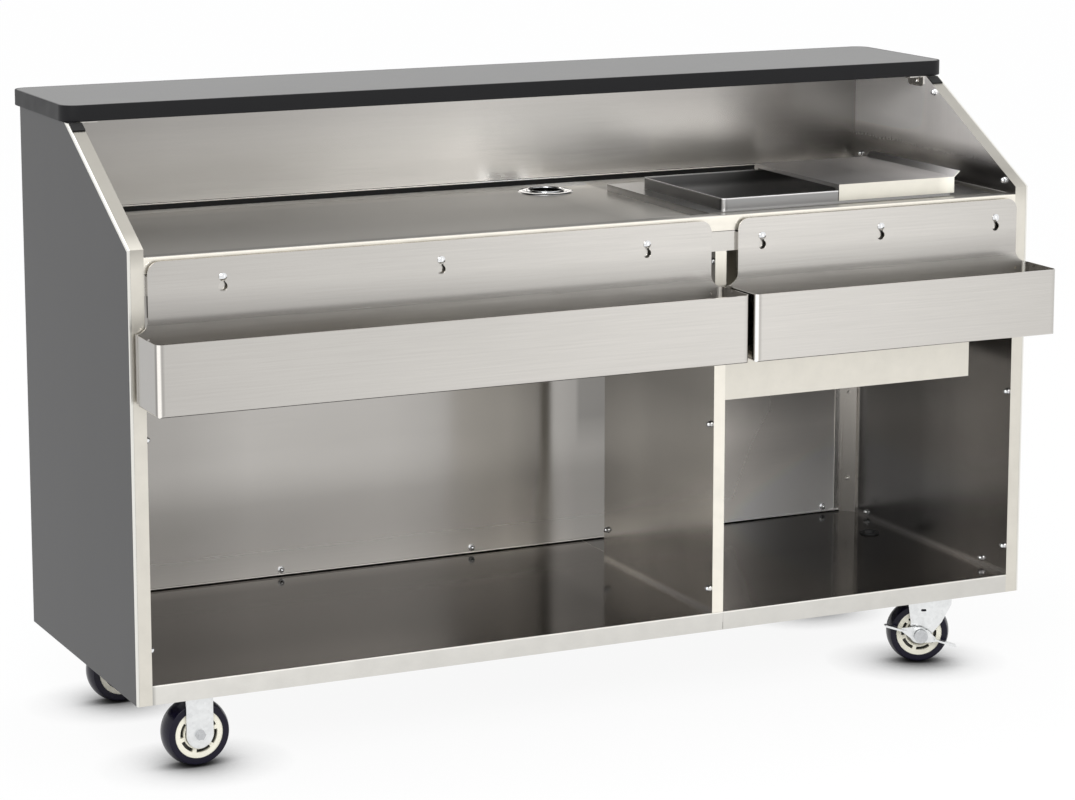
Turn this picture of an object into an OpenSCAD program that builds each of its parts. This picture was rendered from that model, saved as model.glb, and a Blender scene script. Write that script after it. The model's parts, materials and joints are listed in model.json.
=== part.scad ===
// Portable bar station: a wheeled stainless service counter with a laminate
// shell, a tray worktop with a dump drain, a half-lidded ice bin, two hung
// speed rails and four casters.
// Body frame used below: x runs from the left end panel's outer face, y from
// the posts' front faces towards the customer, z up from the floor.
// in_place() moves all of it so the overall box is centred on x = 0, y = 0.

/* [Body] */
// Length over the two end panels
body_w = 1880; // [1400:5:2400]
// Depth of the end panels
body_d = 636; // [500:1:760]
// Height of the body's lower edge above the floor
body_z = 143; // [120:1:180]
// Height where the sloped edge starts
knee_z = 976; // [880:1:1020]
// Height of the underside of the bar top
top_z = 1163; // [1080:1:1220]
// Depth at which the sloped edge meets the bar top
slope_y = 341; // [250:1:420]
// Thickness of the laminate end boards
board_t = 20; // [15:1:25]
// Thickness of the bent stainless sheet
sheet = 1.5; // [1:0.1:2.5]
// Width of the bright trim along the end boards' front edges
trim_w = 3.5; // [2:0.5:6]
// Distance from the body's end to the inner wall face
wall_x = 28.5; // [26:0.5:40]
// Depth of the inner back wall's face
back_y = 623; // [480:1:740]

/* [Compartments] */
// Height of the compartment floor
floor_z = 179.3; // [165:0.1:220]
// Left face of the centre post
post_x = 1173; // [900:1:1400]
// Width of the centre post
post_w = 24; // [18:1:40]
// Depth of the partition behind the centre post
divider_d = 470; // [300:1:600]
// Lower edge of the cross rail that carries the speed rails
rail_z = 892.6; // [860:0.1:910]
// Upper edge of the cross rail
rail_top_z = 930.6; // [915:0.1:945]

/* [Worktop] */
// Height of the worktop's front nosing and raised rims
nosing_z = 961.5; // [940:0.5:980]
// Height of the recessed work surface
work_z = 947; // [930:0.5:958]
// Depth of the front nosing
nosing_d = 25; // [15:1:40]
// Position of the dump drain from the left end
drain_x = 1062; // [900:1:1110]
// Position of the dump drain from the front
drain_y = 522; // [120:1:540]
// Radius of the drain's chrome flange
drain_r = 56.5; // [50:0.5:60]

/* [Bar top] */
// Left end of the bar top
bar_x0 = -4; // [-20:1:0]
// Length of the bar top
bar_w = 1905; // [1880:1:1960]
// Front edge of the bar top
bar_y0 = 348; // [300:1:380]
// Depth of the bar top
bar_d = 333; // [280:1:380]
// Thickness of the bar top
bar_t = 31; // [20:1:40]
// Plan radius of the bar top's corners
bar_r = 30; // [5:1:60]

/* [Ice bin] */
// Left side of the raised rim
rim_x0 = 1214; // [1205:1:1230]
// Right side of the raised rim
rim_x1 = 1738; // [1700:1:1756]
// Front side of the raised rim
rim_y0 = 50; // [45:1:60]
// Rear side of the raised rim
rim_y1 = 386; // [340:1:400]
// Height of the rim's top edge
rim_z = 985; // [975:1:995]
// Height of the bin's inner floor at its edges
tub_z = 640; // [620:1:700]
// Lower edge of the bin's outer casing
casing_z = 594; // [560:1:610]
// Left end of the sliding lid
lid_x0 = 1473; // [1465:1:1500]

/* [Speed rails] */
// Left end of the left rail's tray
rail_l0 = 8; // [0:1:20]
// Right end of the left rail's tray
rail_l1 = 1184; // [1170:1:1187]
// Left end of the right rail's tray
rail_r0 = 1194; // [1190:1:1200]
// Right end of the right rail's tray
rail_r1 = 1874; // [1860:1:1880]
// Distance from the posts to the tray's front face
tray_y = 122; // [100:1:140]
// Height of the tray's underside
tray_z = 696; // [660:1:720]
// Height of the tray's top edges
tray_top = 826; // [800:1:850]
// Height of the back plate's top edge
plate_top = 954; // [945:1:956]
// Distance from the posts to the back plate's front face
plate_y = 8; // [7:0.5:14]
// Height of the keyhole screws
screw_z = 918; // [905:1:922]
// Travel from the hung position to the release position
keyhole_travel = 17.4; // [12:0.1:20]

/* [Casters] */
// Radius of the wheels
wheel_r = 63.5; // [50:0.5:75]
// Width of the tyres
tyre_w = 50; // [40:1:54]
// Axle of the two rigid casters from the left end
rigid_x = 131; // [110:1:200]
// Swivel axis of the two swivel casters from the left end
swivel_x = 1711; // [1600:1:1760]
// Distance from the swivel axis to the axle
trail = 22; // [15:1:30]
// Angle that the front right caster is turned to in the rest position
front_turn = -23.4; // [-180:0.1:180]
// Caster line nearest the bartender
caster_y0 = 68; // [66:1:120]
// Caster line nearest the customer
caster_y1 = 512; // [480:1:570]

/* [Hidden] */
x_mid = bar_x0 + bar_w / 2;
bar_y1 = bar_y0 + bar_d;
y_mid = (bar_y1 - tray_y) / 2;
// inner face of the right side wall
wall_x1 = body_w - wall_x;
// underside of the bent sheet that forms the work surface
work_under = work_z - sheet;
// the slope's direction across the end panels, as unit vector parts
slope_len = sqrt(slope_y * slope_y + (top_z - knee_z) * (top_z - knee_z));
slope_c = slope_y / slope_len;
slope_s = (top_z - knee_z) / slope_len;
// top of the caster plates, under the base frame
plate_z = 157;
plate_t = 3;
// speed rail screws: hung shank radius, head radius and slot clearance
shank_r = 4;
head_r = 7.5;
slot_gap = 0.3;
// inner and outer faces of the caster legs, either side of the wheel
leg_y = tyre_w / 2 + 2;
leg_t = 3;
axle_r = 6;
// plate insets from the tray's ends
plate_in = 24;
// casing of the ice bin
casing_x0 = 1199;
casing_x1 = 1768;
casing_y0 = 28;
casing_y1 = 410;
// radius of the hems along the back walls
hem_r = 2.2;
// hose grommet in the right bay's floor
grommet_x = 1780;
grommet_y = 416;
// drain of the ice bin
bin_drain_x = (rim_x0 + rim_x1) / 2;
bin_drain_y = (rim_y0 + rim_y1) / 2;

// Node to draw

// Moves the body frame to the part's own frame.
module in_place() {
    translate([-x_mid, -y_mid, 0])
        children();
}

// Mirrors a left-hand piece to the right-hand end.
module other_end() {
    translate([body_w, 0, 0])
        mirror([1, 0, 0])
            children();
}

// Box between two corners.
module block(a, b) {
    translate(a)
        cube(b - a);
}

// Side profile drawn in y and z, running from x0 to x1.
module along_x(x0, x1) {
    translate([x0, 0, 0])
        rotate([90, 0, 90])
            linear_extrude(x1 - x0)
                children();
}

// Front profile drawn in x and z, running from y0 to y1.
module along_y(y0, y1) {
    translate([0, y1, 0])
        rotate([90, 0, 0])
            linear_extrude(y1 - y0)
                children();
}

// Plan drawn in x and y, running from z0 to z1.
module along_z(z0, z1) {
    translate([0, 0, z0])
        linear_extrude(z1 - z0)
            children();
}

// Rectangle with all four corners rounded.
module rounded(x0, x1, y0, y1, r) {
    translate([x0 + r, y0])
        square([x1 - x0 - 2 * r, y1 - y0]);
    translate([x0, y0 + r])
        square([x1 - x0, y1 - y0 - 2 * r]);
    for (x = [x0 + r, x1 - r])
        for (y = [y0 + r, y1 - r])
            translate([x, y])
                circle(r, $fn = 48);
}

// Rectangle with its two lower corners rounded.
module rounded_low(x0, x1, y0, y1, r) {
    translate([x0, y0 + r])
        square([x1 - x0, y1 - y0 - r]);
    translate([x0 + r, y0])
        square([x1 - x0 - 2 * r, r + 1]);
    for (x = [x0 + r, x1 - r])
        translate([x, y0 + r])
            circle(r, $fn = 48);
}

// Solid pan shape: plan corners of radius rp, lower edges of radius rb.
module pan_solid(x0, x1, y0, y1, z0, z1, rp, rb) {
    intersection() {
        along_z(z0, z1)
            rounded(x0, x1, y0, y1, rp);
        along_x(x0, x1)
            rounded_low(y0, y1, z0, z1, rb);
        along_y(y0, y1)
            rounded_low(x0, x1, z0, z1, rb);
    }
}

// Pin, bore or washer along y.
module y_rod(x, z, y0, y1, r) {
    translate([x, y1, z])
        rotate([90, 0, 0])
            cylinder(h = y1 - y0, r = r, $fn = 64);
}

// Points of the end panel's front outline, set back by a distance.
function set_back(o) = [
    [o, body_z],
    [o, knee_z - o * (1 - slope_s) / slope_c],
    [slope_y + o / slope_s, top_z]
];

// Outline of the end panel, set back from its front and slope.
module side_profile(o) {
    f = set_back(o);
    polygon([f[0], f[1], f[2], [body_d, top_z], [body_d, body_z]]);
}

// Strip along the front and the slope, between two set-backs.
module front_band(a, b) {
    f = set_back(a);
    g = set_back(b);
    polygon([f[0], f[1], f[2], g[2], g[1], g[0]]);
}

// Laminate-faced end board with a rebate for the bright trim.
module end_panel() {
    difference() {
        along_x(0, board_t)
            side_profile(sheet);
        along_x(-1, 1)
            front_band(0, 7);
    }
}

// Bright angle trim that closes the end board's front edge.
module edge_trim() {
    along_x(0, trim_w)
        front_band(0, sheet);
    along_x(0, 1)
        front_band(0, 6.8);
}

// Bent side wall: inner wall, 25 mm front flange and top flange.
module side_liner() {
    along_x(wall_x - sheet, wall_x)
        difference() {
            side_profile(0);
            translate([back_y, 0])
                square([body_d, top_z + 1]);
        }
    along_x(trim_w + 0.3, wall_x)
        front_band(0, sheet);
    block([board_t, slope_y + 6, top_z - sheet], [wall_x, back_y, top_z]);
    block([board_t, 0, body_z], [wall_x, 24, body_z + sheet]);
}

// Back wall sheet between two heights, with a rounded hem along its foot.
module back_wall(z0, z1) {
    block([wall_x, back_y, z0 + hem_r], [wall_x1, back_y + sheet, z1]);
    intersection() {
        translate([wall_x, back_y + 0.7, z0 + hem_r])
            rotate([0, 90, 0])
                cylinder(h = wall_x1 - wall_x, r = hem_r, $fn = 32);
        block([wall_x, back_y - 5, z0], [wall_x1, back_y + sheet, z0 + 9]);
    }
}

// Slanted strip that closes the right rear corner of the lower bay.
module rear_corner_strip() {
    x0 = wall_x1 - 27.5;
    y0 = back_y - 27.5;
    difference() {
        along_z(floor_z, rail_z)
            polygon([
                [x0 - 12, back_y - 1.2], [x0, back_y - 1.2],
                [wall_x1 - 1.2, y0], [wall_x1 - 1.2, y0 - 12],
                [wall_x1, y0 - 12], [wall_x1, y0 + 0.5],
                [x0 + 0.5, back_y], [x0 - 12, back_y]
            ]);
        // clearance over the hem at the back wall's foot
        block(
            [x0 - 13, back_y - 1.8, floor_z - 1],
            [wall_x1 + 1, back_y + 1, floor_z + 2 * hem_r + 2]
        );
    }
    // screws that hold the strip
    for (z = [254, 446])
        translate([(x0 + wall_x1) / 2 - 0.8, (y0 + back_y) / 2 - 0.8, z])
            rotate([90, 0, -45])
                dome_head(z < 300 ? 5 : 3);
}

// Partition: a flat box with the centre post as its front face.
module partition() {
    difference() {
        union() {
            block([post_x, 0, floor_z], [post_x + post_w, divider_d, rail_z]);
            block([post_x, 22, floor_z], [post_x + post_w, divider_d, work_under]);
        }
        block(
            [post_x + sheet, sheet, floor_z - 1],
            [post_x + post_w - sheet, divider_d - sheet, rail_z - sheet]
        );
        block(
            [post_x + sheet, 22 + sheet, rail_z - 2],
            [post_x + post_w - sheet, divider_d - sheet, work_under - sheet]
        );
    }
}

// Compartment floor with a front rail and stiffening flanges.
module shelf(x0, x1) {
    difference() {
        union() {
            along_x(x0, x1)
                difference() {
                    union() {
                        translate([0, body_z])
                            square([18, floor_z - body_z - 2.5]);
                        translate([2.5, floor_z - 10])
                            square([back_y + sheet - 2.5, 10]);
                        translate([2.5, floor_z - 2.5])
                            circle(2.5, $fn = 32);
                    }
                    translate([sheet, body_z + sheet])
                        square([18 - 2 * sheet, floor_z - body_z - 2 * sheet]);
                    translate([18 - 2 * sheet, body_z + 10])
                        square([back_y, floor_z - body_z - 10 - sheet]);
                }
            block([x0, back_y, body_z], [x1, back_y + sheet, floor_z]);
        }
        translate([grommet_x, grommet_y, floor_z])
            cylinder(h = 10, r = 16, center = true, $fn = 48);
    }
}

// Welded frame under the floor: end channels, two long rails, a crossbar.
module underframe() {
    z1 = floor_z - sheet;
    for (x = [rigid_x, swivel_x])
        difference() {
            block([x - 65, 20, plate_z], [x + 65, 612, z1]);
            block([x - 61, 19, plate_z + 4], [x + 61, 613, z1 + 1]);
            for (y = [caster_y0, caster_y1])
                for (dx = [-44, 44])
                    for (dy = [-30, 30])
                        translate([x + dx, y + dy, plate_z - 1])
                            cylinder(h = 8, r = 4.2, $fn = 32);
            // clearance for the hose grommet
            translate([grommet_x, grommet_y, plate_z - 1])
                cylinder(h = 30, r = 26, $fn = 48);
        }
    for (y = [120, 440])
        difference() {
            block([rigid_x + 65, y, plate_z], [swivel_x - 65, y + 40, z1]);
            block(
                [rigid_x + 64, y + 2, plate_z + 2],
                [swivel_x - 64, y + 38, z1 - 2]
            );
        }
    difference() {
        block([915, 160, plate_z], [955, 440, z1]);
        block([917, 159, plate_z + 2], [953, 441, z1 - 2]);
    }
}

// Channel below the worktop apron; the speed rail screws sit in it.
module top_rail() {
    difference() {
        union() {
            block([wall_x, 0, rail_z], [wall_x1, sheet, rail_top_z]);
            block([wall_x, 0, rail_z], [wall_x1, 20, rail_z + sheet]);
            block([wall_x, 0, rail_top_z - sheet], [wall_x1, 20, rail_top_z]);
        }
        for (x = concat(left_screws, right_screws))
            y_rod(x, screw_z, -1, 3, shank_r);
    }
}

// Tray worktop: rolled nosing and apron, raised rims, two cut-outs.
module worktop_sheet() {
    hem = 4;
    apron_z = rail_top_z + 1;
    x0 = wall_x;
    x1 = wall_x1;
    difference() {
        union() {
            // apron, nosing and the step down to the work surface
            along_x(x0, x1)
                difference() {
                    union() {
                        translate([0, apron_z])
                            square([nosing_d, nosing_z - apron_z - 3]);
                        translate([3, apron_z])
                            square([nosing_d - 3, nosing_z - apron_z]);
                        translate([3, nosing_z - 3])
                            circle(3, $fn = 32);
                    }
                    translate([sheet, apron_z - 1])
                        square([
                            nosing_d - 2 * sheet,
                            nosing_z - apron_z - sheet + 1
                        ]);
                    translate([sheet, apron_z - 1])
                        square([nosing_d, work_under - apron_z + 1]);
                }
            block([x0, nosing_d - sheet, work_under], [x1, back_y + sheet, work_z]);
            // upturned rims along both side walls
            for (x = [x0, x1 - hem]) {
                block([x, nosing_d, work_under], [x + hem, back_y - 2, nosing_z - hem / 2]);
                translate([x + hem / 2, nosing_d, nosing_z - hem / 2])
                    rotate([-90, 0, 0])
                        cylinder(h = back_y - 2 - nosing_d, r = hem / 2, $fn = 32);
            }
            // stiffening channels under the sheet
            for (y = [200, 430])
                block([x0, y, work_under - 18], [post_x - 2, y + 30, work_under]);
        }
        for (y = [200, 430])
            block([x0 + 5, y + 2, work_under - 19], [post_x - 7, y + 28, work_under]);
        translate([drain_x, drain_y, work_z])
            cylinder(h = 10, r = 45, center = true, $fn = 64);
        along_z(work_z - 5, work_z + 5)
            rounded(rim_x0 + 0.5, rim_x1 - 0.5, rim_y0 + 0.5, rim_y1 - 0.5, 11.5);
    }
}

// Bar top board inside its edge band.
module bar_board() {
    e = 3;
    along_z(top_z, top_z + bar_t)
        rounded(
            bar_x0 + e, bar_x0 + bar_w - e,
            bar_y0 + e, bar_y1 - e, bar_r - e
        );
}

// Dark edge band around the bar top.
module edge_band() {
    e = 3;
    difference() {
        along_z(top_z + 0.4, top_z + bar_t)
            rounded(bar_x0, bar_x0 + bar_w, bar_y0, bar_y1, bar_r);
        along_z(top_z, top_z + bar_t + 1)
            rounded(
                bar_x0 + e, bar_x0 + bar_w - e,
                bar_y0 + e, bar_y1 - e, bar_r - e
            );
    }
}

// Two angle brackets between a side wall and the bar top, with bolts.
module bar_brackets() {
    for (y = [350, 540]) {
        difference() {
            union() {
                along_x(wall_x, wall_x + 2)
                    rounded_low(y, y + 58, top_z - 22, top_z, 9);
                block([wall_x, y, top_z - 2], [wall_x + 34, y + 58, top_z]);
            }
            translate([wall_x + 22, y + 29, top_z - 3])
                cylinder(h = 4, r = 3, $fn = 32);
        }
        translate([wall_x + 2, y + 24, top_z - 11])
            rotate([0, 90, 0])
                dome_head(5);
        translate([wall_x + 22, y + 29, top_z - 2])
            rotate([180, 0, 0])
                dome_head(5);
    }
}

// Black pads that close the slope flanges against the bar top.
module pads() {
    a = [slope_y - 24, top_z - 24 * slope_s / slope_c];
    n = [-slope_s * 2.5, slope_c * 2.5];
    for (x = [trim_w + 0.5, body_w - wall_x + 0.3])
        along_x(x, x + wall_x - trim_w - 0.8)
            intersection() {
                polygon([a, a + n, a + n + [60, 60 * slope_s / slope_c],
                    a + [60, 60 * slope_s / slope_c]]);
                translate([0, top_z - 60])
                    square([bar_y0, 60]);
            }
}

// Domed head with its flat face at z = 0.
module dome_head(r) {
    h = r * 0.75;
    ball = (r * r + h * h) / (2 * h);
    cylinder(h = 1, r = r * 1.2, $fn = 32);
    intersection() {
        translate([0, 0, 1 + h - ball])
            sphere(ball, $fn = 48);
        translate([0, 0, 0.5])
            cylinder(h = h + 2, r = r, $fn = 32);
    }
}

// Chrome cup of the dump drain with its threaded neck and outlet.
module drain_cup() {
    translate([drain_x, drain_y, work_z])
        difference() {
            union() {
                rotate_extrude($fn = 96)
                    polygon([
                        [36, -2], [40, -2], [40, 0], [drain_r, 0], [drain_r, 0.8],
                        [drain_r - 3, 2.6], [47, 3.2], [41, 2.2], [36, 2]
                    ]);
                translate([0, 0, -48])
                    cylinder(h = 48.5, r = 44, $fn = 64);
                translate([0, 0, -62])
                    cylinder(h = 15, r = 24, $fn = 64);
                translate([0, 0, -100])
                    cylinder(h = 40, r = 19, $fn = 64);
            }
            translate([0, 0, -45])
                cylinder(h = 43, r = 41, $fn = 64);
            translate([0, 0, -10])
                cylinder(h = 20, r = 37, $fn = 64);
            translate([0, 0, -110])
                cylinder(h = 80, r = 17.5, $fn = 64);
        }
}

// Rubber washer between the work surface and the lock nut.
module drain_washer() {
    translate([drain_x, drain_y, work_under - 3])
        difference() {
            cylinder(h = 3, r = 54, $fn = 64);
            translate([0, 0, -1])
                cylinder(h = 5, r = 44.05, $fn = 64);
        }
}

// Lugged lock nut under the worktop.
module lock_nut() {
    translate([drain_x, drain_y, work_under - 13])
        difference() {
            union() {
                cylinder(h = 10, r = 51, $fn = 64);
                for (a = [0 : 60 : 300])
                    rotate([0, 0, a])
                        block([46, -5, 0], [57, 5, 9]);
            }
            translate([0, 0, -1])
                cylinder(h = 12, r = 44.05, $fn = 64);
        }
}

// Lift-out basket with a raised rim, holes and a centre knob.
module basket() {
    translate([drain_x, drain_y, work_z])
        difference() {
            union() {
                rotate_extrude($fn = 96) {
                    polygon([
                        [0, -36], [30, -36], [36, -31], [36, 3.5],
                        [34.6, 3.5], [34.6, -30.4], [29.4, -34.6], [0, -34.6]
                    ]);
                    // rolled rim that rests on the flange's lip
                    translate([37.2, 4.2])
                        circle(2, $fn = 32);
                }
                translate([0, 0, -35])
                    cylinder(h = 30, r = 3, $fn = 32);
            }
            for (i = [0 : 11])
                rotate([0, 0, i * 30])
                    translate([20, 0, -38])
                        cylinder(h = 6, r = 3, $fn = 24);
            for (i = [0 : 15])
                rotate([0, 0, i * 22.5])
                    translate([30, 0, -14])
                        rotate([0, 90, 0])
                            cylinder(h = 10, r = 3, $fn = 24);
        }
    translate([drain_x, drain_y, work_z - 6])
        cylinder(h = 6, r = 8, $fn = 48);
}

// Ice bin in one sheet: deck, raised rim and deep tub with a drain hole.
module bin_sheet() {
    deck_x0 = 1178;
    deck_x1 = 1815;
    deck_y0 = 36;
    deck_y1 = 472;
    t = 1.5;
    difference() {
        union() {
            block([deck_x0, deck_y0, work_z], [deck_x1, deck_y1, nosing_z]);
            along_z(nosing_z - 1, rim_z)
                rounded(rim_x0, rim_x1, rim_y0, rim_y1, 12);
            pan_solid(
                rim_x0 + 1, rim_x1 - 1, rim_y0 + 1, rim_y1 - 1,
                tub_z - t, nosing_z, 12, 14
            );
        }
        difference() {
            block(
                [deck_x0 + t, deck_y0 + t, work_z - 1],
                [deck_x1 - t, deck_y1 - t, nosing_z - t]
            );
            along_z(work_z - 2, nosing_z)
                rounded(rim_x0 + 1, rim_x1 - 1, rim_y0 + 1, rim_y1 - 1, 12);
        }
        pan_solid(
            rim_x0 + 1 + t, rim_x1 - 1 - t, rim_y0 + 1 + t, rim_y1 - 1 - t,
            tub_z, rim_z + 5, 10.5, 12.5
        );
        translate([bin_drain_x, bin_drain_y, tub_z])
            cylinder(h = 10, r = 20, center = true, $fn = 48);
    }
}

// Foam between the tub and the outer casing.
module foam_fill() {
    c = 1.2;
    difference() {
        block(
            [casing_x0 + c, casing_y0 + c, casing_z + c],
            [casing_x1 - c, casing_y1 - c, work_under]
        );
        pan_solid(
            rim_x0 + 1, rim_x1 - 1, rim_y0 + 1, rim_y1 - 1,
            tub_z - 1.5, work_z + 10, 12, 14
        );
        translate([bin_drain_x, bin_drain_y, casing_z - 1])
            cylinder(h = 60, r = 22, $fn = 48);
    }
}

// Outer casing under the worktop with a top flange.
module casing() {
    c = 1.2;
    difference() {
        block(
            [casing_x0, casing_y0, casing_z],
            [casing_x1, casing_y1, work_under]
        );
        block(
            [casing_x0 + c, casing_y0 + c, casing_z + c],
            [casing_x1 - c, casing_y1 - c, work_under + 1]
        );
        translate([bin_drain_x, bin_drain_y, casing_z])
            cylinder(h = 10, r = 20, center = true, $fn = 48);
    }
    block([casing_x1 - 1, casing_y0, work_under - c], [casing_x1 + 20, casing_y1, work_under]);
    block([casing_x0 + 5, casing_y1 - 1, work_under - c], [casing_x1, casing_y1 + 20, work_under]);
}

// Bin drain: flanged strainer, neck, lock nut and short outlet.
module bin_outlet() {
    translate([bin_drain_x, bin_drain_y, 0])
        difference() {
            union() {
                translate([0, 0, tub_z])
                    cylinder(h = 2, r = 30, $fn = 64);
                translate([0, 0, casing_z - 8])
                    cylinder(h = tub_z - casing_z + 9, r = 19.9, $fn = 64);
                translate([0, 0, casing_z - 8])
                    cylinder(h = 8, r = 27, $fn = 6);
                translate([0, 0, casing_z - 32])
                    cylinder(h = 26, r = 12.7, $fn = 64);
            }
            translate([0, 0, casing_z])
                cylinder(h = tub_z - casing_z - 1, r = 16, $fn = 64);
            translate([0, 0, casing_z - 40])
                cylinder(h = 60, r = 10.5, $fn = 64);
            for (i = [0 : 5])
                rotate([0, 0, i * 60])
                    translate([10, 0, tub_z - 3])
                        cylinder(h = 8, r = 3.5, $fn = 24);
        }
}

// Sliding lid: folded sheet on two runners, guide flanges, turned-up grip.
module lid() {
    x1 = rim_x1;
    runner_w = 12;
    y0 = rim_y0 - 0.6;
    y1 = rim_y1 + 0.6;
    t = 1.2;
    z0 = rim_z + 0.3;
    z1 = rim_z + 12;
    difference() {
        block([lid_x0, y0 - t, z0], [x1, y1 + t, z1]);
        block([lid_x0 + t, y0, z0 + t], [x1 - t, y1, z1 - t]);
        // open underside between the runners
        block([lid_x0 - 1, y0 + runner_w, z0 - 1], [x1 + 1, y1 - runner_w, z0 + 4]);
    }
    block([lid_x0, y0 - t, rim_z - 20], [x1, y0, z1]);
    block([lid_x0, y1, rim_z - 20], [x1, y1 + t, z1]);
    // grip: the sheet leans outwards along the right end
    along_y(y0 - t, y1 + t)
        polygon([
            [x1 - 2, z1 - t], [x1, z1 - t], [x1 + 13, z1 + 10.4],
            [x1 + 12, z1 + 11.4], [x1 - 1, z1]
        ]);
}

// Screw positions along the two speed rails.
left_screws = [173, 597.5, 1022];
right_screws = [1270.5, 1535.5, 1800.5];

// Outline of a speed rail's back plate, flared out to the tray's ends.
module plate_outline(x0, x1) {
    a = x0 + plate_in;
    b = x1 - plate_in;
    top_r = 22;
    // plate above the flare, with rounded top corners
    difference() {
        translate([a, tray_top])
            square([b - a, plate_top - tray_top]);
        for (s = [0, 1])
            translate([s == 0 ? a : b - top_r, plate_top - top_r])
                difference() {
                    square(top_r);
                    translate([s == 0 ? top_r : 0, 0])
                        circle(top_r, $fn = 48);
                }
    }
    // concave flares down to the tray's full width
    for (s = [0, 1])
        translate([s == 0 ? x0 : b, tray_top])
            difference() {
                square(plate_in);
                translate([s == 0 ? 0 : plate_in, plate_in])
                    circle(plate_in, $fn = 48);
            }
    // tray height, down into the bottom bend
    translate([x0, tray_z + 6])
        square([x1 - x0, tray_top - tray_z - 6]);
}

// Keyhole: a slot that hangs on the shank above a hole for the head.
module keyhole(x) {
    r = shank_r + slot_gap;
    translate([x, screw_z])
        circle(r, $fn = 32);
    translate([x - r, screw_z - keyhole_travel])
        square([2 * r, keyhole_travel]);
    translate([x, screw_z - keyhole_travel])
        circle(head_r + 1.2, $fn = 48);
}

// Folded speed rail: back plate with keyholes and an open bottle tray.
module speed_rail(x0, x1, screws) {
    t = sheet;
    difference() {
        union() {
            along_y(-plate_y, -plate_y + t)
                plate_outline(x0, x1);
            pan_solid(x0, x1, -tray_y, -plate_y + t, tray_z, tray_top, 14, 6);
            // edges of the plate turned back to the posts
            for (x = [x0 + plate_in, x1 - plate_in - t])
                block(
                    [x, -plate_y + t - 0.5, tray_top + plate_in + 4],
                    [x + t, -0.4, plate_top - 26]
                );
        }
        pan_solid(
            x0 + t, x1 - t, -tray_y + t, -plate_y,
            tray_z + t, tray_top + 1, 12.5, 4.5
        );
        along_y(-plate_y - 1, -plate_y + t + 1)
            for (x = screws)
                keyhole(x);
        // bend reliefs at the tray's upper back corners
        for (x = [x0 + plate_in, x1 - plate_in])
            y_rod(x, tray_top - 12, -plate_y - 1, -plate_y + t + 1, 2.5);
    }
    // hemmed top edge along the tray's front
    block(
        [x0 + 14, -tray_y + t - 0.5, tray_top - 12],
        [x1 - 14, -tray_y + 2 * t, tray_top]
    );
}

// Shoulder screws: domed head, shank, collar and a nut behind the rail.
module rail_screws(screws) {
    for (x = screws) {
        translate([x, -plate_y - slot_gap, screw_z])
            rotate([90, 0, 0])
                screw_dome();
        y_rod(x, screw_z, -plate_y - slot_gap - 1, 9, shank_r - 0.02);
        y_rod(x, screw_z, -plate_y + sheet + slot_gap, 0, 6.5);
        translate([x, 9 - 1.5, screw_z])
            rotate([90, 0, 0])
                cylinder(h = 6, r = 8, $fn = 6);
    }
}

// Low domed screw head with its flat face at z = 0.
module screw_dome() {
    ball = 12.9;
    intersection() {
        translate([0, 0, 3.4 - ball])
            sphere(ball, $fn = 64);
        cylinder(h = 4, r = head_r, $fn = 48);
    }
}

// Closed cap nut on a washer, with its flat face at z = 0.
module cap_nut() {
    ball = 5;
    cylinder(h = 1.2, r = 7, $fn = 32);
    cylinder(h = 5, r = 6.1, $fn = 6);
    intersection() {
        translate([0, 0, 4.2])
            sphere(ball, $fn = 48);
        translate([0, 0, 4])
            cylinder(h = 6, r = ball, $fn = 32);
    }
}

// Cap nuts on the walls of the compartments.
module wall_nuts() {
    for (x = [516, 940, 1784])
        translate([x, back_y, 192.5])
            rotate([90, 0, 0])
                cap_nut();
    // left side of the partition and post
    for (p = [[14, 226], [14, 553], [14, 872], [455, 243]])
        translate([post_x, p[0], p[1]])
            rotate([0, -90, 0])
                cap_nut();
    // inside of the left post
    for (z = [243, 630])
        translate([wall_x, 12, z])
            rotate([0, 90, 0])
                cap_nut();
    // inside of the right wall, below and above the worktop
    for (p = [[544, 190], [90, 194], [12, 238], [12, 558],
              [307, 1134], [40, 984], [594, 973]])
        translate([wall_x1, p[0], p[1]])
            rotate([0, -90, 0])
                cap_nut();
}

// Rubber grommet in the floor of the right bay.
module grommet() {
    translate([grommet_x, grommet_y, floor_z - sheet])
        difference() {
            union() {
                translate([0, 0, -3])
                    cylinder(h = 3, r = 20, $fn = 48);
                cylinder(h = sheet, r = 16, $fn = 48);
                translate([0, 0, sheet])
                    cylinder(h = 3, r = 20, $fn = 48);
            }
            translate([0, 0, -4])
                cylinder(h = 12, r = 12, $fn = 48);
        }
}

// Tyre with a crowned tread and rounded shoulders; its axis runs along y.
module tyre() {
    w = tyre_w / 2;
    crown = 55;
    rotate([90, 0, 0])
        rotate_extrude($fn = 96)
            intersection() {
                union() {
                    translate([46, -w])
                        square([wheel_r - 54, tyre_w]);
                    translate([46, -w + 4])
                        square([wheel_r - 46, tyre_w - 8]);
                    for (s = [-1, 1])
                        translate([wheel_r - 8, s * (w - 4)])
                            circle(4, $fn = 32);
                }
                translate([wheel_r - crown, 0])
                    circle(crown, $fn = 128);
            }
}

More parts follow.
